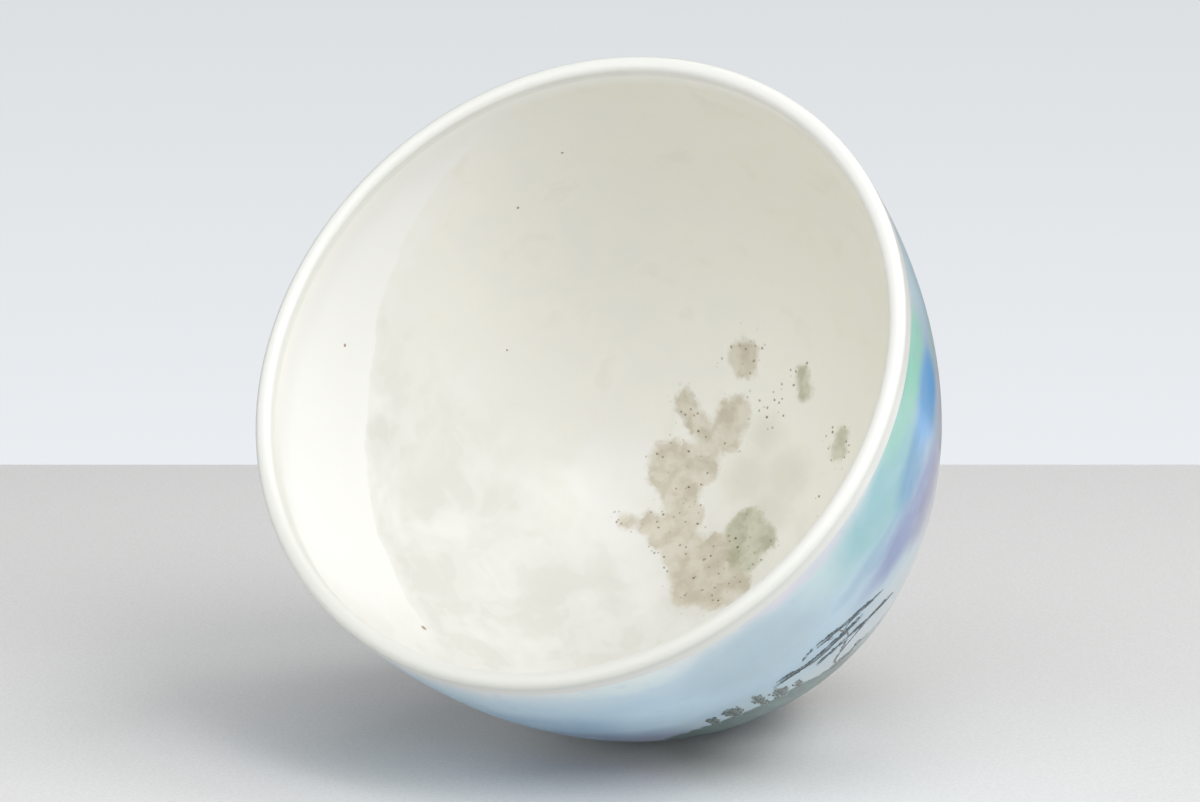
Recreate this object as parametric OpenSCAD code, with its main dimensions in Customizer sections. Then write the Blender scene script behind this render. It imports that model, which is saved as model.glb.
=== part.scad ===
// Round-bellied porcelain tea bowl: a thrown body on a bare foot ring, glazed inside and out,
// with a pearl lustre coat outside and a small landscape of a pine and a grove in enamel.
// It stands on its foot ring. The origin is the centre of the foot's standing face and +Z
// runs up the bowl's axis. Azimuths are degrees from -Y towards +X. Everything is in mm.

/* [Bowl] */
// Outside diameter at the rim
rim_d = 80; // [60:1:120]
// Height from the standing face to the top of the lip
height = 60.5; // [45:0.5:90]
// Thickness of the lip, glaze included
lip_t = 1.5; // [1.2:0.1:3]
// Thickness of the floor, from the foot's ceiling to the bottom of the inside
floor_t = 3.8; // [2:0.1:8]
// Fullness of the inside: 2 is an ellipse, more is squarer
inner_fullness = 2.3; // [2:0.05:2.6]

/* [Foot ring] */
// Outside diameter of the clay ring
foot_d = 40; // [28:0.5:60]
// Width of the ring
foot_w = 3; // [2:0.1:6]
// Height of the ring
foot_h = 4.2; // [2.5:0.1:8]
// How far the belly overhangs the ring, all round
foot_overhang = 1.7; // [0.8:0.1:4]
// Height of bare clay left below the glaze on the ring
bare_h = 1.4; // [0.8:0.1:2.4]
// Rounding of the ring's standing edges
foot_edge_r = 0.6; // [0.2:0.1:0.9]

/* [Glaze] */
// Thickness of every glaze coat
glaze_t = 0.3; // [0.15:0.05:0.5]
// How far the white lip glaze runs down the inside
lip_band_in = 1.0; // [0.5:0.1:6]
// How far the white lip glaze runs down the outside
lip_band_out = 1.6; // [0.5:0.1:6]

/* [Enamel] */
// How far the painting stands proud of the glaze
enamel_t = 0.12; // [0.05:0.01:0.3]
// Azimuth of the middle of the painted scene
scene_az = 90; // [0:1:359]
// Height of the foot of the painted bank
scene_z = 16; // [12:0.5:20]
// Width of the pine's trunk at its thickest
trunk_w = 0.6; // [0.3:0.05:1.2]

/* [Hidden] */
$fn = 96;
wall_steps = 40;  // stretches in each long curve of the wall
lip_steps = 12;   // stretches in the half round of the lip
edge_steps = 4;   // stretches in each rounding of the foot

rim_r = rim_d / 2;
foot_ro = foot_d / 2;
foot_ri = foot_ro - foot_w;
join_r = foot_ro + foot_overhang;   // where the belly ends above the ring
lip_z = height - lip_t / 2;         // centre of the lip's half round
lip_mid_r = rim_r - lip_t / 2;

// The outside is a quarter of an ellipse cut off at the foot, the inside a squarer curve.
outer_fullness = 2;
outer_depth = (lip_z - foot_h) / sqrt(1 - pow(join_r / rim_r, 2));
inner_r = rim_r - lip_t;
inner_depth = lip_z - foot_h - floor_t;
foot_t = acos(join_r / rim_r);
out_band_t = asin(lip_band_out / outer_depth);
in_band_t = asin(pow(lip_band_in / inner_depth, inner_fullness / 2));

// A point of the curve with half width a, depth b and fullness n, moved by off along its normal
function on_curve(a, b, n, t, off) =
    let (slope = [pow(cos(t), 2 - 2 / n) / a, -pow(sin(t), 2 - 2 / n) / b])
    [a * pow(cos(t), 2 / n), lip_z - b * pow(sin(t), 2 / n)] + off * slope / norm(slope);
function outer_line(t0, t1, steps, off) =
    [for (i = [0:steps]) on_curve(rim_r, outer_depth, outer_fullness, t0 + (t1 - t0) * i / steps, off)];
function inner_line(t0, t1, steps, off) =
    [for (i = [0:steps]) on_curve(inner_r, inner_depth, inner_fullness, t0 + (t1 - t0) * i / steps, off)];
function turned(points) = [for (i = [len(points) - 1:-1:0]) points[i]];
// The half round over the lip, from the inside to the outside
function lip_line(r) =
    [for (i = [1:lip_steps - 1]) let (t = 180 * i / lip_steps)
        [lip_mid_r, lip_z] + r * [-cos(t), sin(t)]];

// The visible lines of the wall, and the same lines one coat further in
band_steps = 3;
out_band = outer_line(0, out_band_t, band_steps, 0);
out_band_clay = outer_line(0, out_band_t, band_steps, -glaze_t);
out_main = outer_line(out_band_t, foot_t, wall_steps, 0);
out_main_clay = outer_line(out_band_t, foot_t, wall_steps, -glaze_t);
in_band = inner_line(0, in_band_t, band_steps, 0);
in_band_clay = inner_line(0, in_band_t, band_steps, glaze_t);
in_main = inner_line(in_band_t, 90, wall_steps, 0);
in_main_clay = inner_line(in_band_t, 90, wall_steps, glaze_t);
clay_join = [out_main_clay[wall_steps].x, foot_h];   // outer corner of the body's flat underside

module porcelain_body() {
    color("whitesmoke")
    rotate_extrude()
    polygon(concat([[0, foot_h], clay_join], turned(out_main_clay), turned(out_band_clay),
                   turned(lip_line(lip_t / 2 - glaze_t)), in_band_clay, in_main_clay));
}

module foot_ring() {
    outer_edge = [for (i = [0:edge_steps]) let (t = 90 * i / edge_steps)
        [foot_ro - foot_edge_r * (1 - sin(t)), foot_edge_r * (1 - cos(t))]];
    inner_edge = [for (i = [0:edge_steps]) let (t = 90 * i / edge_steps)
        [foot_ri + foot_edge_r * (1 - cos(t)), foot_edge_r * (1 - sin(t))]];
    color("antiquewhite")
    rotate_extrude()
    polygon(concat(outer_edge, [[foot_ro, foot_h], [foot_ri, foot_h]], inner_edge));
}

module inner_glaze() {
    color("ivory")
    rotate_extrude()
    polygon(concat(in_main, turned(in_main_clay)));
}

module lip_band() {
    color("white")
    rotate_extrude()
    polygon(concat(turned(in_band), lip_line(lip_t / 2), out_band,
                   turned(out_band_clay), turned(lip_line(lip_t / 2 - glaze_t)), in_band_clay));
}

// The coat turns in under the belly and runs down the ring to the bare clay
module outer_glaze() {
    ring_glaze_r = foot_ro + glaze_t;
    color("lightskyblue")
    rotate_extrude()
    polygon(concat(out_main, [[join_r, foot_h - glaze_t], [ring_glaze_r, foot_h - glaze_t],
                              [ring_glaze_r, bare_h], [foot_ro, bare_h], [foot_ro, foot_h], clay_join],
                   turned(out_main_clay)));
}

module base_glaze() {
    pool_r = foot_ri - glaze_t;
    color("white")
    rotate_extrude()
    polygon([[0, foot_h - glaze_t], [pool_r, foot_h - glaze_t], [pool_r, bare_h],
             [foot_ri, bare_h], [foot_ri, foot_h], [0, foot_h]]);
}

/* The painting. A point is [azimuth from the scene's middle in degrees, height above its foot in mm]. */

// Radius of the outside at height z, and a point of the drawing as seen square on
function wall_r(z) = rim_r * sqrt(1 - pow((lip_z - z) / outer_depth, 2));
function on_wall(p) = let (z = scene_z + p.y) [wall_r(z) * sin(p.x), z];
function flat(points) = [for (p = points) on_wall(p)];
function along(points, i) =
    let (d = points[min(i + 1, len(points) - 1)] - points[max(i - 1, 0)]) d / norm(d);

// Both sides of a brush stroke: full width w in the middle, a fifth of it at its ends
end_press = 0.2;
function stroke_side(points, w, side) =
    [for (i = [0:len(points) - 1])
        let (d = along(points, i), press = end_press + (1 - end_press) * sin(180 * i / (len(points) - 1)))
        points[i] + side * w * press / 2 * [-d.y, d.x]];
module stroke(points, w) {
    line = flat(points);
    polygon(concat(stroke_side(line, w, 1), turned(stroke_side(line, w, -1))));
}

// A flat drawing laid on the outside of the bowl as a coat of enamel
scene_margin = 3;
scene_h = 26;
module painted() {
    rows = [for (i = [0:wall_steps])
        if (out_main[i].y < scene_z + scene_h && out_main[i].y > scene_z - scene_margin) i];
    proud = outer_line(out_band_t, foot_t, wall_steps, enamel_t);
    intersection() {
        rotate_extrude()
        polygon(concat([for (i = rows) out_main[i]], turned([for (i = rows) proud[i]])));
        rotate([0, 0, scene_az])
        rotate([90, 0, 0])
        linear_extrude(rim_d)
        children();
    }
}

bank = [[-32, 12], [-27, 15.6], [-22, 16.8], [-17, 16.9], [-12, 16.4], [-8, 15.6], [-4, 14.8], [-1, 14],
        [1, 12.3], [4.6, 11], [9, 10.6], [13, 9.8], [18, 8.4], [23, 6.4], [27, 3.4],
        [24, 1.2], [14, 2.2], [6, 0.6], [-6, 2], [-14, 1], [-22, 2.6], [-29, 5.5]];

// Upright trees of the grove: [azimuth, foot, top, width in mm]
grove = [[-18.1, 16.4, 20.2, 1.1], [-14.2, 15.6, 21, 2.6], [-9, 14.6, 21.8, 1.6], [-5.3, 14, 19.4, 2.5],
         [-1.9, 13.4, 16.6, 1.3]];
tree_steps = 6;

trunk = [[6.4, 9.6], [5.9, 11.7], [6.4, 13.1], [7.5, 14.1], [9.3, 16.1], [10.7, 17.7], [10.9, 19.6],
         [10.4, 21], [9.8, 23.4]];

// Pads of pine needles: [width in mm, the line of the brush]
needles = [[0.8, [[1.6, 22.8], [3, 23.6], [4.6, 24.3]]],
           [1.3, [[4.4, 23.8], [8, 23.4], [12, 22.5], [16.5, 21], [21.2, 19.2]]],
           [1.8, [[-5.6, 21], [-1.5, 21.2], [2.1, 20.3], [6.5, 20.2], [11, 19.9], [15.6, 19]]],
           [1.1, [[2.7, 17.5], [6.5, 17.9], [10.6, 17.2]]],
           [1.5, [[10.3, 17.2], [14.8, 16.4], [19.5, 14.9], [24.1, 12.9]]]];

module grove_shapes() {
    for (t = grove)
        stroke([for (i = [0:tree_steps]) [t[0], t[1] + (t[2] - t[1]) * i / tree_steps]], t[3]);
}
module needle_shapes() {
    for (pad = needles) stroke(pad[1], pad[0]);
}

// Each colour stops where the next one is laid, so no two coats of enamel share a place
module bank_enamel() {
    color("seagreen")
    painted()
    difference() {
        polygon(flat(bank));
        grove_shapes();
        stroke(trunk, trunk_w);
    }
}

module grove_enamel() {
    color("darkslategray")
    painted()
    grove_shapes();
}

module pine_trunk_enamel() {
    color("dimgray")
    painted()
    difference() {
        stroke(trunk, trunk_w);
        needle_shapes();
    }
}

module pine_needle_enamel() {
    color("slategray")
    painted()
    difference() {
        needle_shapes();
        grove_shapes();
    }
}

porcelain_body();
foot_ring();
inner_glaze();
lip_band();
outer_glaze();
base_glaze();
bank_enamel();
grove_enamel();
pine_trunk_enamel();
pine_needle_enamel();
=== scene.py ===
"""Porcelain tea bowl lying on its side on a pale table, as a potter and a painter would finish it.

The bowl's own frame is the CAD frame: the origin is the centre of the foot, +Z runs out of the mouth.
Azimuths are degrees from -Y towards +X. The table is the plane that the tipped bowl rests on.
"""
import math
import random

import bmesh
import bpy
from mathutils import Matrix, Vector


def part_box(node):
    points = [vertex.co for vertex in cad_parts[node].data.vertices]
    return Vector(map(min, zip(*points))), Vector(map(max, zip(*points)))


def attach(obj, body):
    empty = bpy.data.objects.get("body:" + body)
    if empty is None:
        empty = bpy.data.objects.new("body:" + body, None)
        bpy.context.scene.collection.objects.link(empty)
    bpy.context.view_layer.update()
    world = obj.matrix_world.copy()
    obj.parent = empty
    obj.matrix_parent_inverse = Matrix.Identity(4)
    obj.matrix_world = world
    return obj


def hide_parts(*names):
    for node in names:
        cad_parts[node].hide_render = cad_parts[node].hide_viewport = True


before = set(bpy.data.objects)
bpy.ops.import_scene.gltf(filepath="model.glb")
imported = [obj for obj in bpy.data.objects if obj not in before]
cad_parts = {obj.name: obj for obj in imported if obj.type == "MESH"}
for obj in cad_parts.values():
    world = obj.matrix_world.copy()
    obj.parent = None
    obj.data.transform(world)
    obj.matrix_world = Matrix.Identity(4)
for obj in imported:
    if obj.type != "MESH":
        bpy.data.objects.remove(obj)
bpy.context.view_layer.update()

MM = 0.001

# ---------------------------------------------------------------- sizes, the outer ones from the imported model
lip_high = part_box("lip_band")[1]
ring_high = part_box("foot_ring")[1]
base_low, base_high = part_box("base_glaze")
lining_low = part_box("inner_glaze")[0]

RIM_R = lip_high.x
HEIGHT = lip_high.z
FOOT_R = ring_high.x
FOOT_H = ring_high.z
FOOT_INNER_R = base_high.x
BARE_H = base_low.z
GLAZE = 0.3 * MM
LIP = 1.5 * MM
LIP_Z = HEIGHT - LIP / 2
LIP_BAND_OUT = 1.6 * MM         # the lip's own glaze reaches this far below LIP_Z outside
LIP_BAND_IN = 1.0 * MM          # and this far inside
OVERHANG = 1.7 * MM             # the belly stands out past the foot by this much where they meet
JOIN_R = FOOT_R + OVERHANG
INNER_FULLNESS = 2.3            # 2 is an ellipse, and more is squarer
OUTER_FULLNESS = 2.0
OUTER_DEPTH = (LIP_Z - FOOT_H) / math.sqrt(1 - (JOIN_R / RIM_R) ** 2)
INNER_R = RIM_R - LIP
INNER_DEPTH = LIP_Z - (lining_low.z + GLAZE)

# Angles on the wall curves, from the lip at 0 to the floor: where the lip's glaze ends outside and
# inside, where the outside meets the foot, and the middle of the floor.
OUT_BAND_T = math.asin(LIP_BAND_OUT / OUTER_DEPTH)
IN_BAND_T = math.asin((LIP_BAND_IN / INNER_DEPTH) ** (INNER_FULLNESS / 2))
FOOT_T = math.acos(JOIN_R / RIM_R)
FLOOR_T = math.pi / 2

LIP_ROLL = 0.5 * MM     # the glaze is this much thicker inside the lip, and thins out down to ROLL_FOOT
ROLL_FOOT = HEIGHT - 7 * MM

SPIN_STEPS = 240        # round the bowl
WALL_STEPS = 110        # down the seen side of a glaze
BACK_STEPS = 30         # down the side of it that lies against the clay
BAND_STEPS = 4          # down each side of the lip's glaze
CREST_STEPS = 24        # over the top of the lip, and half as many against the clay
MERGE = 1e-7            # points nearer than this are one


def direction(azimuth):
    """The level unit vector at an azimuth in radians."""
    return Vector((math.sin(azimuth), -math.cos(azimuth), 0))


# ---------------------------------------------------------------- the bowl's curves
def on_curve(half, depth, fullness, t, off=0.0):
    """Radius and height on a wall curve at angle t, moved by off along its outward normal."""
    c, s = max(math.cos(t), 0.0), math.sin(t)
    slope = Vector((c ** (2 - 2 / fullness) / half, -s ** (2 - 2 / fullness) / depth)).normalized()
    return Vector((half * c ** (2 / fullness), LIP_Z - depth * s ** (2 / fullness))) + off * slope


def outer_curve(t0, t1, steps, off=0.0):
    """Points down the outside, from angle t0 to t1."""
    return [on_curve(RIM_R, OUTER_DEPTH, OUTER_FULLNESS, t0 + (t1 - t0) * i / steps, off)
            for i in range(steps + 1)]


def inner_curve(t0, t1, steps, off=0.0):
    """Points down the inside, from angle t0 to t1."""
    return [on_curve(INNER_R, INNER_DEPTH, INNER_FULLNESS, t0 + (t1 - t0) * i / steps, off)
            for i in range(steps + 1)]


def arc(centre, radius, a0, a1, steps):
    """Points of an arc in the radius-height plane; angles in degrees from the outward direction."""
    turn = [math.radians(a0 + (a1 - a0) * i / steps) for i in range(steps + 1)]
    return [Vector(centre) + radius * Vector((math.cos(a), math.sin(a))) for a in turn]


def rolled(line):
    """An inside line, moved inwards where the glaze gathers under the lip."""
    moved = []
    for point in line:
        t = min(1.0, max(0.0, (point.y - ROLL_FOOT) / (LIP_Z - ROLL_FOOT)))
        moved.append(point - Vector((LIP_ROLL * t * t * (3 - 2 * t), 0)))
    return moved


def lip_crest(steps):
    """The top of the lip from inside to outside, wider than it is high."""
    half = (LIP + LIP_ROLL) / 2
    turns = [math.pi * i / steps for i in range(1, steps)]
    return [Vector((RIM_R - half - half * math.cos(a), LIP_Z + LIP / 2 * math.sin(a))) for a in turns]


# ---------------------------------------------------------------- mesh helpers
def finish_piece(name, bm, material, nodes, sharp=35, merge=True):
    """Turns a bmesh into a shaded piece of the bowl."""
    if merge:
        bmesh.ops.remove_doubles(bm, verts=bm.verts, dist=MERGE)
    bmesh.ops.recalc_face_normals(bm, faces=bm.faces)
    mesh = bpy.data.meshes.new(name)
    bm.to_mesh(mesh)
    bm.free()
    for face in mesh.polygons:
        face.use_smooth = True
    mesh.set_sharp_from_angle(angle=math.radians(sharp))
    mesh.materials.append(material)
    piece = bpy.data.objects.new(name, mesh)
    bpy.context.scene.collection.objects.link(piece)
    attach(piece, "root")
    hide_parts(*nodes)
    return piece


def thrown(outline, closed):
    """Spins an outline of (radius, height) points round the bowl's axis."""
    bm = bmesh.new()
    verts = [bm.verts.new((p.x, 0, p.y)) for p in outline]
    pairs = list(zip(verts, verts[1:] + verts[:1])) if closed else list(zip(verts, verts[1:]))
    edges = [bm.edges.new(pair) for pair in pairs]
    bmesh.ops.spin(bm, geom=verts + edges, cent=(0, 0, 0), axis=(0, 0, 1), dvec=(0, 0, 0),
                   angle=math.tau, steps=SPIN_STEPS, use_merge=True, use_duplicate=False)
    return bm


# ---------------------------------------------------------------- material helpers
def srgb(r, g, b):
    """A colour given as 0-255 display values, as the linear colour that shaders take."""
    def linear(v):
        v /= 255
        return v / 12.92 if v <= 0.04045 else ((v + 0.055) / 1.055) ** 2.4
    return (linear(r), linear(g), linear(b), 1)


GLAZE_IOR = 1.5


class Finish:
    """One material's nodes. Most methods add a node and return its result; lengths are millimetres."""

    def __init__(self, name):
        self.material = bpy.data.materials.new(name)
        self.material.use_nodes = True
        self.tree = self.material.node_tree
        self.shader = self.tree.nodes["Principled BSDF"]
        coordinates = self.tree.nodes.new("ShaderNodeTexCoord")
        self.uv = coordinates.outputs["UV"]
        self.at = self.vector("SCALE", coordinates.outputs["Object"], scale=1000)

    def put(self, socket, value):
        if isinstance(value, bpy.types.NodeSocket):
            self.tree.links.new(value, socket)
        else:
            socket.default_value = value

    def vector(self, operation, *values, scale=None):
        node = self.tree.nodes.new("ShaderNodeVectorMath")
        node.operation = operation
        for socket, value in zip(node.inputs, values):
            self.put(socket, value)
        if scale is not None:
            self.put(node.inputs["Scale"], scale)
        return node.outputs["Value" if operation in ("LENGTH", "DISTANCE", "DOT_PRODUCT") else "Vector"]

    def math(self, operation, *values):
        node = self.tree.nodes.new("ShaderNodeMath")
        node.operation = operation
        for socket, value in zip(node.inputs, values):
            self.put(socket, value)
        return node.outputs[0]

    def towards(self, azimuth):
        """How far a place lies from the bowl's axis towards an azimuth in degrees."""
        return self.vector("DOT_PRODUCT", self.at, tuple(direction(math.radians(azimuth))))

    def split(self, vector):
        node = self.tree.nodes.new("ShaderNodeSeparateXYZ")
        self.put(node.inputs[0], vector)
        return node.outputs

    def join(self, x, y, z=0.0):
        node = self.tree.nodes.new("ShaderNodeCombineXYZ")
        for socket, value in zip(node.inputs, (x, y, z)):
            self.put(socket, value)
        return node.outputs[0]

    def fade(self, value, start, end, low=0.0, high=1.0):
        """Goes smoothly from low to high as the value goes from start to end."""
        node = self.tree.nodes.new("ShaderNodeMapRange")
        node.interpolation_type = "SMOOTHSTEP"
        for name, number in (("Value", value), ("From Min", start), ("From Max", end),
                             ("To Min", low), ("To Max", high)):
            self.put(node.inputs[name], number)
        return node.outputs["Result"]

    def noise(self, where, grain, detail=3.0, colour=False):
        """Noise with features about grain millimetres across."""
        node = self.tree.nodes.new("ShaderNodeTexNoise")
        self.put(node.inputs["Vector"], where)
        node.inputs["Scale"].default_value = 1 / grain
        node.inputs["Detail"].default_value = detail
        return node.outputs["Color" if colour else "Fac"]

    def wander(self, where, grain, reach):
        """The place, moved about by up to reach millimetres, for hand-made edges."""
        push = self.vector("SUBTRACT", self.noise(where, grain, 2.0, colour=True), (0.5, 0.5, 0.5))
        return self.vector("ADD", where, self.vector("SCALE", push, scale=2 * reach))

    def local(self, where, centre, turn, size):
        """The place as seen from a centre, turned about the bowl's axis and measured in sizes."""
        node = self.tree.nodes.new("ShaderNodeMapping")
        node.vector_type = "TEXTURE"
        self.put(node.inputs["Vector"], where)
        node.inputs["Location"].default_value = centre
        node.inputs["Rotation"].default_value = (0, 0, turn)
        node.inputs["Scale"].default_value = size
        return node.outputs[0]

    def mix(self, factor, a, b):
        node = self.tree.nodes.new("ShaderNodeMix")
        node.data_type = "RGBA"
        for socket, value in ((node.inputs["Factor"], factor), (node.inputs[6], a), (node.inputs[7], b)):
            self.put(socket, value)
        return node.outputs[2]

    def ramp(self, value, stops):
        """The colour at a value from 0 to 1, between the stops (position, colour) on either side of it."""
        node = self.tree.nodes.new("ShaderNodeValToRGB")
        self.put(node.inputs[0], value)
        scale = node.color_ramp.elements
        while len(scale) < len(stops):
            scale.new(0.5)      # its place is set below
        for element, (position, colour) in zip(scale, stops):
            element.position = position
            element.color = colour
        return node.outputs[0]

    def bump(self, height, depth, strength):
        """Gives the surface a relief, depth millimetres deep at a strength of 1."""
        node = self.tree.nodes.new("ShaderNodeBump")
        self.put(node.inputs["Height"], height)
        node.inputs["Distance"].default_value = depth * MM
        node.inputs["Strength"].default_value = strength
        self.tree.links.new(node.outputs[0], self.shader.inputs["Normal"])

    def surface(self, colour, roughness, coat=0.0, coat_roughness=0.05):
        """Sets the shader's colour, roughness and clear coat, and returns the finished material."""
        self.put(self.shader.inputs["Base Color"], colour)
        self.put(self.shader.inputs["Roughness"], roughness)
        self.shader.inputs["Coat Weight"].default_value = coat
        self.shader.inputs["Coat Roughness"].default_value = coat_roughness
        self.shader.inputs["IOR"].default_value = GLAZE_IOR
        return self.material


# ---------------------------------------------------------------- the lustre and the paint on it
def wall_radius(z):
    """Radius of the bowl's outside in millimetres at a height in millimetres."""
    return RIM_R / MM * math.sqrt(1 - ((LIP_Z / MM - z) * MM / OUTER_DEPTH) ** 2)


# Height in millimetres and the colour of the lustre there, from the foot to the lip.
LUSTRE_BY_HEIGHT = [
    (0, (196, 206, 210)), (8, (198, 208, 212)), (18, (212, 222, 226)), (26, (212, 222, 227)),
    (32, (196, 214, 224)), (38, (182, 209, 226)), (44, (190, 218, 235)), (50, (190, 217, 234)),
    (54, (200, 222, 234)), (56.5, (217, 229, 235)), (58.2, (234, 235, 235)), (60.5, (236, 236, 233)),
]
# Azimuth, height, half width, half height (millimetres), strength and colour of each cloud of lustre. The three
# darker blue and violet clouds near azimuth 45, where the belly lies on the table, are partly the lustre's own
# colour and partly painted shade.
LUSTRE_CLOUDS = [
    (88, 50, 13, 11, 0.8, (176, 201, 214)), (67, 57, 9, 4, 0.6, (226, 240, 240)),
    (67, 43, 9, 8, 0.6, (202, 230, 246)),
    (107, 54, 9, 8, 0.75, (199, 225, 227)), (103, 57.6, 11, 1.8, 0.5, (224, 216, 230)),
    (121, 52, 15, 8.5, 1.0, (148, 201, 209)), (134, 57, 10, 5, 1.0, (150, 210, 196)),
    (143, 55.5, 8, 5, 0.9, (168, 230, 208)), (116, 45, 12, 3, 0.7, (138, 180, 208)),
    (130, 47.5, 8, 5, 0.9, (96, 160, 204)), (140.5, 47.5, 8, 7, 1.0, (116, 184, 242)),
    (123, 40, 14, 6, 1.0, (130, 150, 198)), (131, 35.5, 9, 6, 0.9, (136, 136, 180)),
    (137, 30, 11, 7, 0.65, (176, 172, 184)), (110, 30, 10, 5, 0.7, (206, 220, 228)),
    (150, 38, 9, 9, 0.8, (222, 222, 236)), (154, 45, 5, 5, 0.6, (200, 228, 224)),
    (160, 53, 8, 8, 0.8, (212, 236, 246)), (46, 43, 14, 8, 0.6, (138, 178, 210)),
    (48, 34, 15, 8, 0.7, (118, 144, 184)), (60, 30, 9, 6, 0.5, (140, 138, 176)),
]
# The same for the broad, soft bands on the side away from the painting.
FAR_CLOUDS = [
    (186, 51, 24, 6, 0.6, (168, 216, 216)), (180, 36, 20, 8, 0.5, (184, 198, 218)),
    (206, 41, 22, 7, 0.6, (166, 176, 212)), (224, 52, 26, 7, 0.75, (138, 190, 232)),
    (240, 32, 24, 9, 0.5, (178, 196, 216)), (256, 46, 24, 6, 0.6, (164, 212, 212)),
    (272, 37, 24, 7, 0.5, (174, 180, 212)), (290, 52, 26, 7, 0.7, (142, 192, 230)),
    (316, 43, 24, 7, 0.6, (164, 180, 216)), (332, 54, 24, 5, 0.6, (168, 214, 216)),
    (0, 48, 24, 7, 0.6, (148, 194, 228)), (22, 51, 20, 7, 0.4, (168, 206, 224)),
    (215, 20, 26, 8, 0.5, (196, 194, 208)), (305, 22, 26, 8, 0.5, (186, 202, 214)),
    (15, 30, 24, 9, 0.5, (178, 192, 214)),
]


def lustre_colour(f):
    """The pearl lustre's colour at any place on the outside, the same for every coat that shows it."""
    hand = f.wander(f.wander(f.at, 6.0, 1.6), 2.2, 0.4)
    loose = f.wander(f.wander(f.at, 16.0, 8.0), 4.0, 1.5)
    tall_mm = HEIGHT / MM
    colour = f.ramp(f.math("DIVIDE", f.split(hand)[2], tall_mm),
                    [(z / tall_mm, srgb(*tint)) for z, tint in LUSTRE_BY_HEIGHT])
    # a cloud is at full strength within its core, a share of its half width and half height
    for clouds, place, core in ((FAR_CLOUDS, loose, 0.0), (LUSTRE_CLOUDS, hand, 0.4)):
        for azimuth, z, wide, tall, strength, tint in clouds:
            turn = math.radians(azimuth)
            centre = (wall_radius(z) * math.sin(turn), -wall_radius(z) * math.cos(turn), z)
            reach = f.vector("LENGTH", f.local(place, centre, turn, (wide, wide, tall)))
            colour = f.mix(f.fade(reach, 1.0, core, 0.0, strength), colour, srgb(*tint))
    # a faint mottling, lighter and then darker than the lustre
    colour = f.mix(f.fade(f.noise(f.at, 3.6, 3.0), 0.42, 0.75, 0.0, 0.16), colour, srgb(214, 228, 236))
    return f.mix(f.fade(f.noise(f.at, 1.8, 3.0), 0.5, 0.8, 0.0, 0.12), colour, srgb(120, 164, 200))


def pearl_lustre():
    f = Finish("pearl_lustre")
    f.bump(f.noise(f.at, 6.0, 0.0), 0.02, 0.2)
    roughness = f.fade(f.noise(f.at, 5.0, 0.0), 0.3, 0.7, 0.28, 0.31)
    return f.surface(lustre_colour(f), roughness, coat=0.3, coat_roughness=0.15)


# ---------------------------------------------------------------- the glaze inside
# Centre (x, y) and radius in millimetres, seen down the axis, of each dab of brown wash inside the bowl.
BROWN_DABS = [
    (-14.5, 15.7, 2.1), (-16.1, 6.4, 1.5), (-13.4, 6.0, 1.6), (-11, 10.7, 2.2), (-9.8, 8, 2.2),
    (-10.2, 5.6, 1.8), (-12.4, 0.3, 2), (-10.8, -1.7, 1.8), (-9.9, 2.2, 2.5), (-8.2, 3.1, 2.1),
    (-7.3, -1.1, 2.5), (-4.5, -2.4, 2.5), (-8.5, -8.7, 1.1), (-6.5, -6.6, 1.5), (-4, -5.8, 2.1),
    (-0.4, -4.9, 3), (3.5, -5.7, 3), (4.8, -2.6, 3.1), (2.5, -1, 2.6), (6.8, -5.1, 2.5),
    (4.9, -8.1, 1.8), (8, -2.2, 2.2), (8.8, -4.4, 1.3),
]
# The same for the greener dabs beside them.
GREEN_DABS = [
    (1.9, 4.1, 2.2), (5, 4.2, 2.1), (2.2, 2.4, 2.4), (5.6, 0.8, 2.3), (-7.5, 20.5, 1),
    (-5.8, 19.7, 1.2), (2.5, 20, 1), (3.7, 18.6, 1.3),
]
# The same for the faint wash between them.
SOFT_DABS = [(0, 11.1, 3.4), (-3.5, 7.5, 3.4), (2, 7, 3), (-6, 12, 2.5)]
# The same for a painted highlight beside the wash: whiter dabs where the glaze shines.
GLARE_DABS = [
    (-16.6, -7.0, 2.6), (-15.1, -9.5, 2.6), (-12.8, -4.5, 2.4), (-11.7, -8.7, 2.8), (-7.5, -9.0, 2.8),
    (-6.2, -10.3, 2.4), (-2, -11, 2.4), (1.9, -11.2, 2.0), (-14.6, -1.2, 1.6),
]
# The same for the sprinkles of iron specks that reach past the wash.
SPECKS_NEAR = [(-14.5, 15.7, 2.8), (-6.6, 20.2, 2.6), (-8, 15, 2.2), (3, 19.3, 2.6), (6, 12.5, 1.8)]
# Spacing in millimetres, radius as a share of it, and colour, of the dark specks and of the closer pale ones.
SPECK_SIZES = [(1.25, 0.17, (112, 102, 86)), (0.75, 0.26, (158, 146, 126))]
# Stray specks far from the wash: the place of each in millimetres, and its radius.
STRAY_SPECKS = [
    ((1.2, -34.8, 33.6), 0.5), ((-36.4, 4.3, 40.2), 0.24), ((-35.3, 13, 45.4), 0.24),
    ((-30.3, -22.6, 47), 0.28), ((-30.1, -8, 25.5), 0.2),
]
LIT_BAND_LINE = 48.3        # height in millimetres at which the slanting edge of the painted lit band inside the lip would cross the axis


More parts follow.
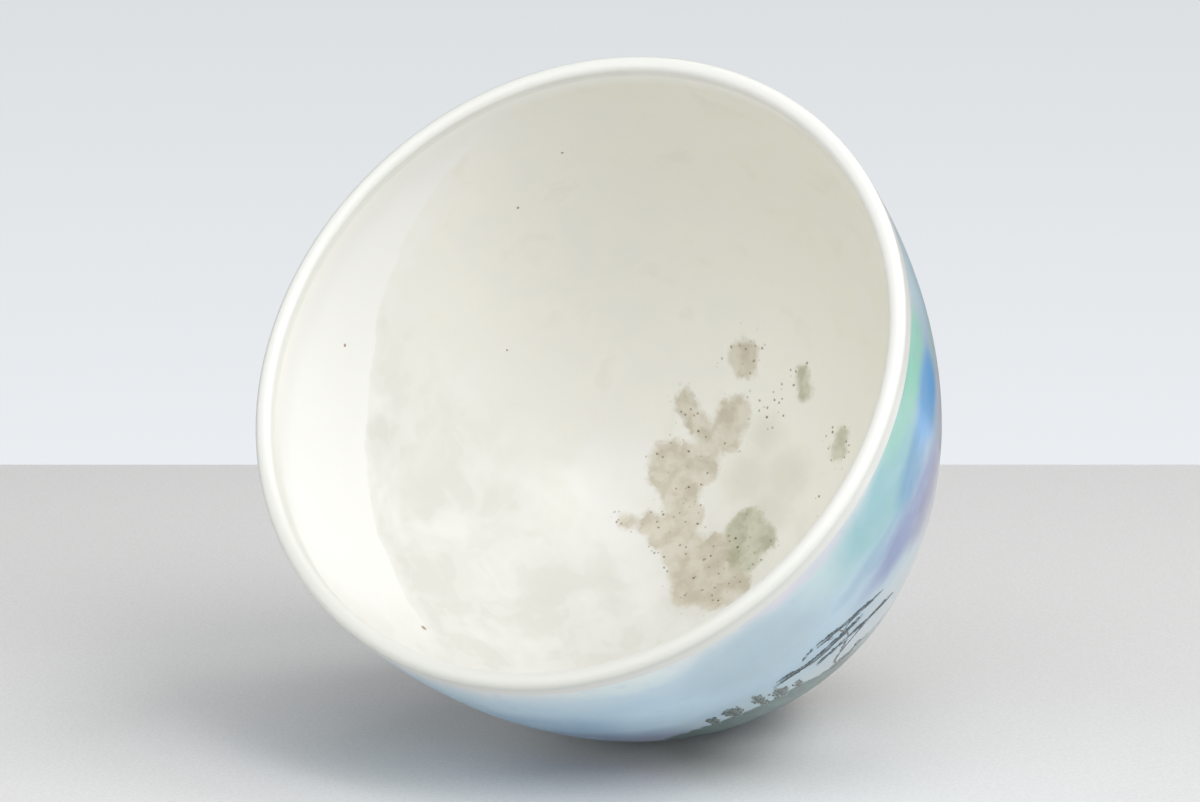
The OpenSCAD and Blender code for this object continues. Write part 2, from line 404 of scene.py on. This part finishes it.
def cream_glaze():
    f = Finish("speckled_cream_glaze")
    # painted light and shade: the inside is painted lighter towards azimuth 330 and down towards the floor, and
    # darker up the opposite wall
    across = f.vector("DOT_PRODUCT", f.at, tuple(direction(math.radians(330)) - 0.35 * Vector((0, 0, 1))))
    colour = f.mix(f.fade(across, -40, 0), srgb(236, 234, 221), srgb(241, 240, 233))
    # painted shade: the inside is painted darker towards azimuth 20, near the side the bowl lies on
    colour = f.mix(f.fade(f.towards(20), -12, 22), colour, srgb(220, 220, 215))
    clouds = f.noise(f.wander(f.at, 8.0, 4.0), 5.5, 3.0)
    colour = f.mix(f.fade(clouds, 0.42, 0.7, 0.0, 0.4), colour, srgb(236, 236, 232))
    colour = f.mix(f.fade(clouds, 0.45, 0.25, 0.0, 0.22), colour, srgb(218, 215, 204))
    # marbling where the white glaze was poured over: crisp on one side of each streak, soft on the other
    marbled = f.fade(f.towards(5), -8, 16)
    veins = f.noise(f.wander(f.wander(f.at, 9.0, 5.0), 2.5, 0.8), 6.0, 2.0)
    for start, end, strength in ((0.45, 0.52, 0.3), (0.54, 0.7, 0.4), (0.41, 0.34, 0.1)):
        vein = f.math("MULTIPLY", f.fade(veins, start, end, 0.0, strength), marbled)
        colour = f.mix(vein, colour, srgb(236, 236, 234) if end > start else srgb(214, 213, 204))
    # painted light: the inside is painted whiter down one side, a lit crescent under the lip that ends at a
    # slanting line where the lip's shadow would begin
    lit_plane = f.vector("DOT_PRODUCT", f.wander(f.wander(f.at, 9.0, 1.8), 1.6, 0.4), (0.086, -0.443, 1))
    side = f.fade(f.towards(310), 14, 30)
    lit_band_trail = f.math("MULTIPLY", f.fade(f.math("MULTIPLY_ADD", clouds, 14.0, lit_plane), 50.5, 57.5), 0.5)
    lit_band = f.math("MAXIMUM", f.math("MULTIPLY", f.fade(lit_plane, LIT_BAND_LINE, LIT_BAND_LINE + 0.5), 0.95), lit_band_trail)
    colour = f.mix(f.math("MULTIPLY", lit_band, side), colour, srgb(243, 243, 242))

    x, y = f.split(f.at)[:2]
    level = f.join(x, y)
    plan = f.wander(f.wander(level, 2.0, 0.9), 0.6, 0.45)

    def dabs(spots):
        """How far outside the nearest dab a place is; dabs that are close run together."""
        edge = None
        for cx, cy, radius in spots:
            here = f.math("SUBTRACT", f.vector("DISTANCE", plan, (cx, cy, 0)), radius)
            edge = here if edge is None else f.math("SMOOTH_MIN", edge, here, 1.5)
        return edge

    pool = f.noise(plan, 2.8, 3.0)
    thick = f.fade(pool, 0.35, 0.65)
    strength = f.fade(pool, 0.25, 0.7, 0.6, 0.95)
    # painted highlight: whiter dabs where the glaze shines beside the wash
    white = f.math("MULTIPLY", f.fade(dabs(GLARE_DABS), 1.4, -1.2), 0.75)
    colour = f.mix(white, colour, srgb(236, 236, 234))
    soft = f.math("MULTIPLY", f.fade(dabs(SOFT_DABS), 2.4, -2.4), 0.42)
    colour = f.mix(soft, colour, srgb(200, 202, 182))
    brown, green = dabs(BROWN_DABS), dabs(GREEN_DABS)
    colour = f.mix(f.math("MULTIPLY", f.fade(brown, 0.5, -0.45), strength), colour,
                   f.mix(thick, srgb(210, 203, 184), srgb(196, 188, 169)))
    colour = f.mix(f.math("MULTIPLY", f.fade(green, 0.45, -0.6), strength), colour,
                   f.mix(thick, srgb(194, 193, 168), srgb(177, 176, 151)))
    sprinkled = f.math("MINIMUM", f.math("MINIMUM", brown, green), dabs(SPECKS_NEAR))
    near = f.fade(sprinkled, 1.3, -0.3)
    for spacing, size, tone in SPECK_SIZES:
        cells = f.tree.nodes.new("ShaderNodeTexVoronoi")
        f.put(cells.inputs["Vector"], f.wander(level, 0.5, 0.12))
        cells.inputs["Scale"].default_value = 1 / spacing
        present = f.fade(f.split(cells.outputs["Color"])[0], 0.6, 0.85)     # only some cells hold a speck
        dot = f.math("MULTIPLY", f.fade(cells.outputs["Distance"], size, 0.5 * size), present)
        colour = f.mix(f.math("MULTIPLY", dot, near), colour, srgb(*tone))
    for place, radius in STRAY_SPECKS:
        here = f.vector("DISTANCE", f.wander(f.at, 0.6, 0.15), place)
        colour = f.mix(f.fade(here, radius, 0.5 * radius, 0.0, 0.85), colour, srgb(138, 108, 72))
    # under the lip the glaze passes into the lip's own white, which is painted greyer towards azimuth 45 as
    # painted shade on the side the bowl lies on
    lip_white_and_shade = f.mix(f.fade(f.towards(45), 0, 30), srgb(244, 244, 240), srgb(216, 217, 211))
    rise = f.vector("DOT_PRODUCT", f.wander(f.at, 3.0, 0.5), (0, 0, 1))
    colour = f.mix(f.fade(rise, 55.6, 58.8), colour, lip_white_and_shade)
    f.bump(f.noise(f.at, 3.0, 2.0), 0.02, 0.4)
    return f.surface(colour, 0.32)


def lip_white():
    f = Finish("white_lip_glaze")
    clouds = f.fade(f.noise(f.at, 2.0), 0.3, 0.7)
    # painted shade: the lip is painted greyer towards azimuth 40, the side the bowl lies on
    shaded_lip_white = srgb(224, 225, 220)
    shaded_lip_side = f.fade(f.towards(40), 8, 34)
    colour = f.mix(clouds, srgb(233, 234, 230), srgb(238, 238, 235))
    colour = f.mix(shaded_lip_side, colour, shaded_lip_white)
    # painted shade: the crest of the lip is painted a little greyer, to tone down the light it catches, and
    # greyer still on the shaded side
    crest = f.fade(f.math("ADD", f.split(f.at)[2], f.math("MULTIPLY", clouds, 0.1)), 58.8, 60.3)
    colour = f.mix(crest, colour, f.mix(shaded_lip_side, shaded_lip_white, srgb(213, 214, 208)))
    return f.surface(colour, 0.34, coat=0.12, coat_roughness=0.2)


def bare_clay():
    f = Finish("bare_clay")
    colour = f.mix(f.fade(f.noise(f.at, 0.35, 4.0), 0.35, 0.65), srgb(216, 207, 193), srgb(228, 222, 210))
    f.bump(f.noise(f.at, 0.25, 3.0), 0.03, 0.6)
    return f.surface(colour, 0.75)


def clear_base():
    f = Finish("clear_base_glaze")
    colour = f.mix(f.fade(f.noise(f.at, 4.0, 3.0), 0.3, 0.7), srgb(226, 231, 231), srgb(236, 238, 236))
    return f.surface(colour, 0.12, coat=0.3)


cream, white, pearl, clay, clear = cream_glaze(), lip_white(), pearl_lustre(), bare_clay(), clear_base()


# ---------------------------------------------------------------- the bowl
def make_lustre_coat():
    """The coat over the outside, tucked in under the belly and down the foot ring's side."""
    ring_r = FOOT_R + GLAZE
    outside = outer_curve(OUT_BAND_T, FOOT_T, WALL_STEPS)
    clay_side = outer_curve(OUT_BAND_T, FOOT_T, BACK_STEPS, -GLAZE)
    tuck = [Vector((JOIN_R, FOOT_H - GLAZE)), Vector((ring_r, FOOT_H - GLAZE)), Vector((ring_r, BARE_H)),
            Vector((FOOT_R, BARE_H)), Vector((FOOT_R, FOOT_H)), Vector((clay_side[-1].x, FOOT_H))]
    bm = thrown(outside + tuck + clay_side[::-1], closed=True)
    return finish_piece("lustre_coat", bm, pearl, ["outer_glaze"])


def make_inside_glaze():
    """The lining: its seen side and its clay side, joined at the lip."""
    bm = thrown(rolled(inner_curve(IN_BAND_T, FLOOR_T, WALL_STEPS)), closed=False)
    back = thrown(inner_curve(IN_BAND_T, FLOOR_T, BACK_STEPS, GLAZE)[::-1], closed=False)
    mesh = bpy.data.meshes.new("back")
    back.to_mesh(mesh)
    back.free()
    bm.from_mesh(mesh)
    bpy.data.meshes.remove(mesh)
    bmesh.ops.remove_doubles(bm, verts=bm.verts, dist=MERGE)
    rims = [e for e in bm.edges if e.is_boundary]
    bmesh.ops.bridge_loops(bm, edges=rims)
    return finish_piece("inside_glaze", bm, cream, ["inner_glaze"])


def make_lip_glaze():
    """The band over the lip, from inside to outside."""
    shown = (rolled(inner_curve(0, IN_BAND_T, BAND_STEPS)[::-1]) + lip_crest(CREST_STEPS)
             + outer_curve(0, OUT_BAND_T, BAND_STEPS))
    clay_top = arc((RIM_R - LIP / 2, LIP_Z), LIP / 2 - GLAZE, 180, 0, CREST_STEPS // 2)[1:-1]
    clay_side = (inner_curve(0, IN_BAND_T, BAND_STEPS, GLAZE)[::-1] + clay_top
                 + outer_curve(0, OUT_BAND_T, BAND_STEPS, -GLAZE))
    bm = thrown(shown + clay_side[::-1], closed=True)
    return finish_piece("lip_glaze", bm, white, ["lip_band"])


def make_foot_ring():
    """The bare ring that the bowl stands on, with both edges of its face rounded."""
    edge, steps = 0.6 * MM, 8
    outline = (arc((FOOT_R - edge, edge), edge, 0, -90, steps)
               + arc((FOOT_INNER_R + edge, edge), edge, -90, -180, steps)
               + [Vector((FOOT_INNER_R, FOOT_H)), Vector((FOOT_R, FOOT_H))])
    bm = thrown(outline, closed=True)
    return finish_piece("turned_foot", bm, clay, ["foot_ring"])


def make_base_glaze():
    """The glaze inside the foot ring, over the base and down the ring's inner side."""
    outline = [Vector((0, FOOT_H)), Vector((FOOT_INNER_R, FOOT_H)), Vector((FOOT_INNER_R, BARE_H)),
               Vector((FOOT_INNER_R - GLAZE, BARE_H))]
    fillet, steps = 0.8 * MM, 6
    corner = (FOOT_INNER_R - GLAZE - fillet, FOOT_H - GLAZE - fillet)
    outline += arc(corner, fillet, 0, 90, steps) + [Vector((0, FOOT_H - GLAZE))]
    bm = thrown(outline, closed=False)
    return finish_piece("foot_glaze", bm, clear, ["base_glaze"])


make_lustre_coat()
make_inside_glaze()
make_lip_glaze()
make_foot_ring()
make_base_glaze()
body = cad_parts["porcelain_body"]
body.data.materials.clear()
body.data.materials.append(clay)

# ---------------------------------------------------------------- the painted landscape
# Every place in the painting is degrees of azimuth and millimetres of height from this one.
SCENE_AZ = 90
SCENE_Z = 16
BANK_RIDGE = [
    (-34, 10.4), (-32, 12.2), (-27, 15.6), (-22, 16.8), (-17, 16.9), (-12, 16.4), (-8, 15.6), (-4, 14.8),
    (-1, 14), (1, 12.3), (4.6, 11), (9, 10.6), (13, 9.8), (18, 8.4), (23, 6.4), (27, 3.4),
]
BANK_FOOT = 1.2
TRUNK = [
    (6.4, 9.6), (5.9, 11.7), (6.4, 13.1), (7.5, 14.1), (9.3, 16.1), (10.7, 17.7), (10.9, 19.6),
    (10.4, 21), (9.8, 23.4),
]
BRANCHES = [
    [(7.4, 14.0), (9.6, 14.9), (12.5, 15.6), (16, 15.5)],
    [(10.7, 17.7), (8.6, 18), (5.2, 17.8)],
    [(10.8, 19.4), (7.5, 20), (3, 20.5)],
    [(10.4, 21), (12.6, 21.6), (16, 21)],
    [(6.3, 24.2), (7.2, 22.8), (8.4, 21.9)],
]
# Width in millimetres of each pad of needles, and the line through its middle.
NEEDLE_PADS = [
    (0.8, [(1.6, 22.8), (3, 23.6), (4.6, 24.3)]),
    (1.3, [(4.4, 23.8), (8, 23.4), (12, 22.5), (16.5, 21), (21.2, 19.2)]),
    (1.8, [(-5.6, 21), (-1.5, 21.2), (2.1, 20.3), (6.5, 20.2), (11, 19.9), (15.6, 19)]),
    (1.1, [(2.7, 17.5), (6.5, 17.9), (10.6, 17.2)]),
    (1.5, [(10.3, 17.2), (14.8, 16.4), (19.5, 14.9), (24.1, 12.9)]),
]
# Azimuth of each tree of the grove, and its foot, top and width in millimetres.
GROVE = [
    (-18.1, 16.2, 20.6, 1.3), (-14.2, 15.4, 21.4, 2.6), (-9, 14.4, 22, 1.5), (-5.3, 13.8, 19.6, 2.5),
    (-1.9, 13.2, 16.8, 1.4),
]
GROVE_DEGREE = 0.66     # millimetres that a degree of azimuth spans at the grove's height
ENAMEL = 0.015 * MM     # thickness that every stroke and the bank are given


def on_wall(x, z, proud=0.0):
    """A point on the bowl's outside, at a place in the painting and proud millimetres off the lustre."""
    height = SCENE_Z + z
    radius = wall_radius(height)
    slope = Vector((radius * MM / RIM_R ** 2, (height * MM - LIP_Z) / OUTER_DEPTH ** 2)).normalized()
    out = Vector((radius, height)) + proud * slope
    turn = math.radians(SCENE_AZ + x)
    return Vector((out.x * math.sin(turn), -out.x * math.cos(turn), out.y)) * MM


def smooth_line(points, steps):
    """Steps + 1 points, evenly counted, on a smooth line through the given ones."""
    line = [Vector(p) for p in points]
    line = [2 * line[0] - line[1]] + line + [2 * line[-1] - line[-2]]
    out = []
    for i in range(steps + 1):
        s = i / steps * (len(line) - 3)
        k = min(int(s), len(line) - 4)
        t = s - k
        a, b, c, d = line[k:k + 4]
        out.append(0.5 * (2 * b + (c - a) * t + (2 * a - 5 * b + 4 * c - d) * t ** 2
                          + (3 * b - a - 3 * c + d) * t ** 3))
    return out


def lay_out(faces, layer, spot):
    """Gives every corner of the faces the UV that its vertex has in spot."""
    for face in faces:
        for loop in face.loops:
            loop[layer].uv = spot[loop.vert]


def dab(bm, points, width, proud, number, low=-0.02, pointed=0.55, steps=None, across=4):
    """One brush stroke: a thin lens of enamel along a line, with its number kept in the whole part of U.

    Its middle is proud millimetres off the lustre and its edges are low millimetres off it.
    """
    steps = steps or max(6, 4 * len(points))
    line = smooth_line(points, steps)
    degree = math.radians(1) * wall_radius(SCENE_Z + line[0].y)     # millimetres that a degree spans here
    made = bmesh.ops.create_grid(bm, x_segments=steps, y_segments=across, size=0.5)
    layer = bm.loops.layers.uv.verify()
    spot = {}
    for vert in made["verts"]:
        s, t = vert.co.x + 0.5, 2 * vert.co.y
        i = min(steps, round(s * steps))
        ahead = line[min(i + 1, steps)] - line[max(i - 1, 0)]
        side = Vector((-ahead.y, ahead.x * degree)).normalized()
        # the ends are blunt by a hair, so that no face there shrinks to nothing
        swell = max(0.04, math.sin(math.pi * min(max(s, 0.02), 0.98)))
        half = 0.5 * width * swell ** pointed
        place = line[i] + Vector((side.x * half * t / degree, side.y * half * t))
        vert.co = on_wall(place.x, place.y, low + (proud - low) * math.sqrt(max(0.0, 1 - t * t)))
        # U stays just inside its whole number, so that an end never takes the next stroke's number
        spot[vert] = (number + 0.002 + 0.996 * s, 0.5 + 0.5 * t)
    lay_out({face for vert in made["verts"] for face in vert.link_faces}, layer, spot)


def enamel_piece(name, bm, material, node):
    """Gives the strokes their thickness and makes them a piece."""
    bmesh.ops.recalc_face_normals(bm, faces=bm.faces)
    bm.normal_update()
    bmesh.ops.solidify(bm, geom=bm.faces[:], thickness=ENAMEL)
    return finish_piece(name, bm, material, [node], sharp=60, merge=False)


def paint(name, dark, light, soft, ragged, strength=1.0):
    """Enamel brushed over the lustre: U runs along a stroke and V across it."""
    f = Finish(name)
    u, v = f.split(f.uv)[:2]
    along = f.math("FRACT", u)
    number = f.math("FLOOR", u)
    spot = f.vector("ADD", f.at, f.join(f.math("MULTIPLY", number, 7.3), 0.0))  # its own patch of noise
    grain = f.math("MULTIPLY", f.math("SUBTRACT", f.noise(spot, ragged, 3.0), 0.5), 1.3)
    inward = f.math("SUBTRACT", 1.0, f.math("ABSOLUTE", f.math("MULTIPLY_ADD", v, 2.0, -1.0)))
    ends = f.math("MULTIPLY", f.math("MULTIPLY", along, f.math("SUBTRACT", 1.0, along)), 4.0)
    body = f.math("ADD", f.math("MULTIPLY", inward, f.math("POWER", ends, 0.4)), grain)
    cover = f.math("MULTIPLY", f.fade(body, 0.05, 0.05 + soft), strength)
    tone = f.noise(spot, 0.5, 3.0)
    ink = f.mix(f.fade(tone, 0.35, 0.68), srgb(*dark), srgb(*light))
    return f.surface(f.mix(cover, lustre_colour(f), ink), 0.3, coat=0.3)


def make_bank():
    """The green ground: U runs along it and V up it, from its faded foot to its crisp ridge."""
    f = Finish("green_enamel")
    u, v = f.split(f.uv)[:2]
    grain = f.noise(f.vector("MULTIPLY", f.at, (1, 1, 0.5)), 0.9, 4.0)
    ragged = f.math("MULTIPLY", f.math("SUBTRACT", grain, 0.5), 0.16)
    ragged_v = f.math("ADD", v, ragged)
    ridge = f.fade(ragged_v, 0.985, 0.93)
    foot = f.fade(ragged_v, 0.02, 0.3)
    sides = f.math("MULTIPLY", f.fade(u, 0.0, 0.12), f.fade(f.math("ADD", u, ragged), 1.0, 0.62))
    cover = f.math("MULTIPLY", f.math("MULTIPLY", ridge, foot), sides)
    broad = f.noise(f.vector("MULTIPLY", f.at, (1, 1, 0.4)), 2.6, 4.0)
    green = f.mix(f.fade(broad, 0.34, 0.66), srgb(34, 82, 76), srgb(68, 114, 106))
    green = f.mix(f.fade(v, 0.6, 0.1), green, srgb(72, 98, 98))
    # painted shade: the bank is painted darker towards its left end, near where the belly rests on the table
    green = f.mix(f.fade(u, 0.35, 0.05, 0.0, 0.6), green, srgb(44, 72, 74))
    material = f.surface(f.mix(f.math("MULTIPLY", cover, 0.92), lustre_colour(f), green), 0.32, coat=0.3)
    f.bump(grain, 0.03, 0.5)
    steps_along, steps_up = 96, 28
    bm = bmesh.new()
    bmesh.ops.create_grid(bm, x_segments=steps_along, y_segments=steps_up, size=0.5)
    layer = bm.loops.layers.uv.verify()
    ridge_line = smooth_line(BANK_RIDGE, steps_along)
    spot = {}
    for vert in bm.verts:
        s, t = vert.co.x + 0.5, vert.co.y + 0.5
        top = ridge_line[round(s * steps_along)]
        edge = min(1.0, 12 * s, 12 * (1 - s), 14 * t, 14 * (1 - t))     # 0 at the rim, 1 a little inside it
        vert.co = on_wall(top.x, BANK_FOOT + t * (top.y + 0.4 - BANK_FOOT), 0.05 * edge - 0.02)
        spot[vert] = (s, t)
    lay_out(bm.faces, layer, spot)
    enamel_piece("green_bank", bm, material, "bank_enamel")


def make_grove():
    """Each tree is a wash, a line up its middle, and many short strokes that rise from it."""
    draw = random.Random(5)
    wash, lines = bmesh.new(), bmesh.new()
    for number, (x, foot, top, width) in enumerate(GROVE):
        tall = top - foot
        crown = [(x, foot), (x + 0.2, foot + 0.5 * tall), (x, top)]
        stem = [(x + 0.1, foot - 0.5), (x - 0.1, foot + 0.5 * tall), (x + 0.1, top - 0.3)]
        dab(wash, crown, width, 0.07, number, steps=16, across=8)
        dab(lines, stem, 0.55, 0.1, number)
        for i in range(int(9 * width) + 4):
            side = draw.uniform(-0.46, 0.46) * width
            rise = foot + tall * draw.uniform(0.05, 0.82)
            reach = draw.uniform(0.5, 1.3)
            aside = side / GROVE_DEGREE
            start = (x + aside, rise)
            end = (x + aside + aside * 0.35 * draw.uniform(-0.6, 0.3), rise + reach)
            middle = ((start[0] + end[0]) / 2 + draw.uniform(-0.1, 0.1), (start[1] + end[1]) / 2)
            dab(lines, [start, middle, end], draw.uniform(0.28, 0.5), 0.1, 10 + i, steps=6)
    washed = paint("grove_wash", (72, 92, 88), (106, 126, 120), 0.4, 0.8, 0.95)
    inked = paint("grove_lines", (24, 38, 36), (58, 74, 70), 0.3, 0.4)
    enamel_piece("grove_wash", wash, washed, "grove_enamel")
    enamel_piece("grove_lines", lines, inked, "grove_enamel")


def make_trunk():
    """The leaning trunk, its branches, and a row of short strokes where it stands."""
    draw = random.Random(11)
    bm = bmesh.new()
    dab(bm, TRUNK[:6], 0.62, 0.1, 0, pointed=0.25, steps=30)
    dab(bm, TRUNK[4:], 0.36, 0.1, 1, pointed=0.35, steps=24)
    for number, branch in enumerate(BRANCHES):
        dab(bm, branch, 0.22, 0.09, 2 + number, steps=14)
    for i in range(9):
        x = 3.2 + 1.1 * i + draw.uniform(-0.4, 0.4)
        z = 9.7 + draw.uniform(-0.3, 0.7)
        dab(bm, [(x, z), (x + 0.9, z + draw.uniform(-0.1, 0.5)), (x + 1.9, z + draw.uniform(-0.5, 0.2))],
            draw.uniform(0.16, 0.34), 0.08, 20 + i, steps=8)
    inked = paint("trunk_ink", (84, 76, 80), (118, 112, 116), 0.3, 0.5)
    enamel_piece("pine_trunk", bm, inked, "pine_trunk_enamel")


def make_needles():
    """Each pad is a wash with fine strokes along it."""
    draw = random.Random(3)
    fine = 60               # steps of a pad's middle line, between which its strokes start and end
    wash, lines = bmesh.new(), bmesh.new()
    for number, (width, points) in enumerate(NEEDLE_PADS):
        length = points[-1][0] - points[0][0]
        dab(wash, points, width, 0.06, number, pointed=0.4, steps=40, across=8)
        line = smooth_line(points, fine)
        for i in range(int(length * 1.3) + 6):
            start = draw.uniform(0.0, 0.74)
            end = min(1.0, start + draw.uniform(0.12, 0.3))
            side = draw.uniform(-0.42, 0.42) * width
            rise = draw.uniform(-0.12, 0.2)
            stroke = []
            for share in (0, 1 / 3, 2 / 3, 1):
                spot = line[round(fine * (start + (end - start) * share))]
                stroke.append(spot + Vector((0, side + rise * share)))
            dab(lines, stroke, draw.uniform(0.16, 0.34), 0.1, 10 + i, steps=10)
    washed = paint("needle_wash", (126, 138, 142), (160, 172, 178), 0.6, 0.7, 0.75)
    inked = paint("needle_lines", (54, 68, 72), (88, 102, 106), 0.3, 0.4)
    enamel_piece("needle_wash", wash, washed, "pine_needle_enamel")
    enamel_piece("needle_lines", lines, inked, "pine_needle_enamel")


make_bank()
make_grove()
make_trunk()
make_needles()

# ---------------------------------------------------------------- the table and how the bowl lies on it
TILT = math.radians(57)          # between the bowl's axis and upright
CONTACT_AZ = math.radians(45)    # the side of the belly that touches the table
CONTACT_GAP = 0.02 * MM          # left under the belly, so that bowl and table don't cut into each other

AXIS = Vector((0, 0, 1))
UP = (-direction(CONTACT_AZ) * math.sin(TILT) + AXIS * math.cos(TILT)).normalized()
MOUTH = (AXIS - AXIS.dot(UP) * UP).normalized()                 # the way the mouth faces, along the table
belly_reach = math.hypot(RIM_R * math.sin(TILT), OUTER_DEPTH * math.cos(TILT))
TABLE_DROP = AXIS.dot(UP) * LIP_Z - belly_reach - CONTACT_GAP   # height of the table along UP

MOUTH_TURN = math.radians(25.1)  # the mouth is turned this far to the left of the camera
PITCH = math.radians(9.5)        # the camera looks down this far
to_camera = (MOUTH * math.cos(MOUTH_TURN) + UP.cross(MOUTH) * math.sin(MOUTH_TURN)).normalized()
RIGHT = UP.cross(to_camera).normalized()
FORWARD = (-to_camera * math.cos(PITCH) - UP * math.sin(PITCH)).normalized()
CAMERA_UP = RIGHT.cross(FORWARD).normalized()
CAMERA_DISTANCE = 378.3 * MM
LENS, FILM_WIDTH = 99, 36        # millimetres

TABLE_HALF_WIDTH, TABLE_BACK, TABLE_FRONT = 0.9, 0.153, -0.6    # metres from the foot of UP
ROOM_GLOW = (0.08, 0.08, 0.085, 1)
# Name, place (right, up and near, in metres from the bowl), size in metres and watts of each soft light.
SOFT_LIGHTS = [
    ("top", 0, 1, 0, 0.6, 1.3), ("top_right", 0.6, 0.8, 0, 0.4, 2.3), ("top_front", 0, 0.75, 0.65, 0.8, 3.5),
    ("key", 0.45, 0.65, 0.6, 0.5, 3.9), ("front_right", 0.65, 0.4, 0.65, 0.7, 1.5),
    ("front", 0, 0.3, 0.95, 0.7, 0.6), ("front_left", -0.65, 0.4, 0.65, 0.8, 2.6),
    ("left", -0.9, 0.4, 0, 0.8, 1.8), ("below", 0.1, -0.9, 0.1, 0.7, 0.75),
    ("back_right", 0.5, 0.6, -0.6, 0.6, 0.8),
]


def on_table(right, back):
    """A point of the table: metres to the camera's right and away from it, from the foot of UP."""
    return UP * TABLE_DROP + RIGHT * right - to_camera * back


def make_camera():
    """The camera, aimed a little to the right of the mouth's centre and below it."""
    rim_centre = Vector((0, 0, HEIGHT))
    aim = rim_centre + RIGHT * 3.65 * MM - CAMERA_UP * 4.89 * MM
    data = bpy.data.cameras.new("camera")
    data.lens = LENS
    data.sensor_width = FILM_WIDTH
    data.clip_start = 0.01
    camera = bpy.data.objects.new("camera", data)
    bpy.context.scene.collection.objects.link(camera)
    camera.location = aim - FORWARD * CAMERA_DISTANCE
    turn = Matrix((RIGHT, CAMERA_UP, -FORWARD)).transposed()
    camera.rotation_mode = "QUATERNION"
    camera.rotation_quaternion = turn.to_quaternion()
    bpy.context.scene.camera = camera


def make_table():
    """A pale board, seen from above only: from below it is clear, so that the bowl shows."""
    f = Finish("table_board")
    tree = f.tree
    tree.nodes.remove(f.shader)
    grain = f.noise(f.at, 0.4, 3.0)
    board = tree.nodes.new("ShaderNodeBsdfDiffuse")
    f.put(board.inputs["Color"], f.mix(f.fade(grain, 0.3, 0.7), srgb(215, 215, 214), srgb(222, 222, 221)))
    clear_side = tree.nodes.new("ShaderNodeBsdfTransparent")
    mix = tree.nodes.new("ShaderNodeMixShader")
    f.put(mix.inputs[0], tree.nodes.new("ShaderNodeNewGeometry").outputs["Backfacing"])
    f.put(mix.inputs[1], board.outputs[0])
    f.put(mix.inputs[2], clear_side.outputs[0])
    f.put(tree.nodes["Material Output"].inputs["Surface"], mix.outputs[0])
    bm = bmesh.new()
    corners = [(-TABLE_HALF_WIDTH, TABLE_FRONT), (TABLE_HALF_WIDTH, TABLE_FRONT),
               (TABLE_HALF_WIDTH, TABLE_BACK), (-TABLE_HALF_WIDTH, TABLE_BACK)]
    face = bm.faces.new([bm.verts.new(on_table(*corner)) for corner in corners])
    bm.normal_update()
    if face.normal.dot(UP) < 0:
        face.normal_flip()
    mesh = bpy.data.meshes.new("table")
    bm.to_mesh(mesh)
    bm.free()
    mesh.materials.append(f.material)
    table = bpy.data.objects.new("table", mesh)
    bpy.context.scene.collection.objects.link(table)
    table.visible_shadow = False


def softbox(name, right, up, near, size, watts):
    """A soft square light, placed from the bowl along the camera's right, the table's up and the camera."""
    centre = Vector((0, 0, HEIGHT / 2))
    place = centre + RIGHT * right + UP * up + to_camera * near
    data = bpy.data.lights.new(name, "AREA")
    data.size = size
    data.energy = watts
    lamp = bpy.data.objects.new(name, data)
    bpy.context.scene.collection.objects.link(lamp)
    lamp.location = place
    lamp.rotation_mode = "QUATERNION"
    lamp.rotation_quaternion = (centre - place).to_track_quat("-Z", "Y")


def make_studio():
    """A dim room all round, and a plain pale wall where the camera sees past the table."""
    world = bpy.data.worlds.new("studio")
    bpy.context.scene.world = world
    world.use_nodes = True
    world.cycles.sampling_method = "NONE"
    tree = world.node_tree
    tree.nodes.clear()
    room = tree.nodes.new("ShaderNodeBackground")
    room.inputs["Color"].default_value = ROOM_GLOW

    # the wall darkens a little upwards
    way = tree.nodes.new("ShaderNodeTexCoord")
    rise = tree.nodes.new("ShaderNodeVectorMath")
    rise.operation = "DOT_PRODUCT"
    rise.inputs[1].default_value = UP
    ramp = tree.nodes.new("ShaderNodeMapRange")
    ramp.inputs["From Min"].default_value = -0.19
    ramp.inputs["From Max"].default_value = -0.045
    mix = tree.nodes.new("ShaderNodeMix")
    mix.data_type = "RGBA"
    mix.inputs[6].default_value = srgb(235, 239, 243)
    mix.inputs[7].default_value = srgb(220, 224, 227)
    wall = tree.nodes.new("ShaderNodeBackground")
    tree.links.new(way.outputs["Generated"], rise.inputs[0])
    tree.links.new(rise.outputs["Value"], ramp.inputs["Value"])
    tree.links.new(ramp.outputs["Result"], mix.inputs["Factor"])
    tree.links.new(mix.outputs[2], wall.inputs["Color"])

    path = tree.nodes.new("ShaderNodeLightPath")
    both = tree.nodes.new("ShaderNodeMixShader")
    out = tree.nodes.new("ShaderNodeOutputWorld")
    tree.links.new(path.outputs["Is Camera Ray"], both.inputs["Fac"])
    tree.links.new(room.outputs[0], both.inputs[1])
    tree.links.new(wall.outputs[0], both.inputs[2])
    tree.links.new(both.outputs[0], out.inputs["Surface"])


make_camera()
make_table()
make_studio()
for light in SOFT_LIGHTS:
    softbox(*light)
bpy.context.scene.view_settings.view_transform = "Standard"
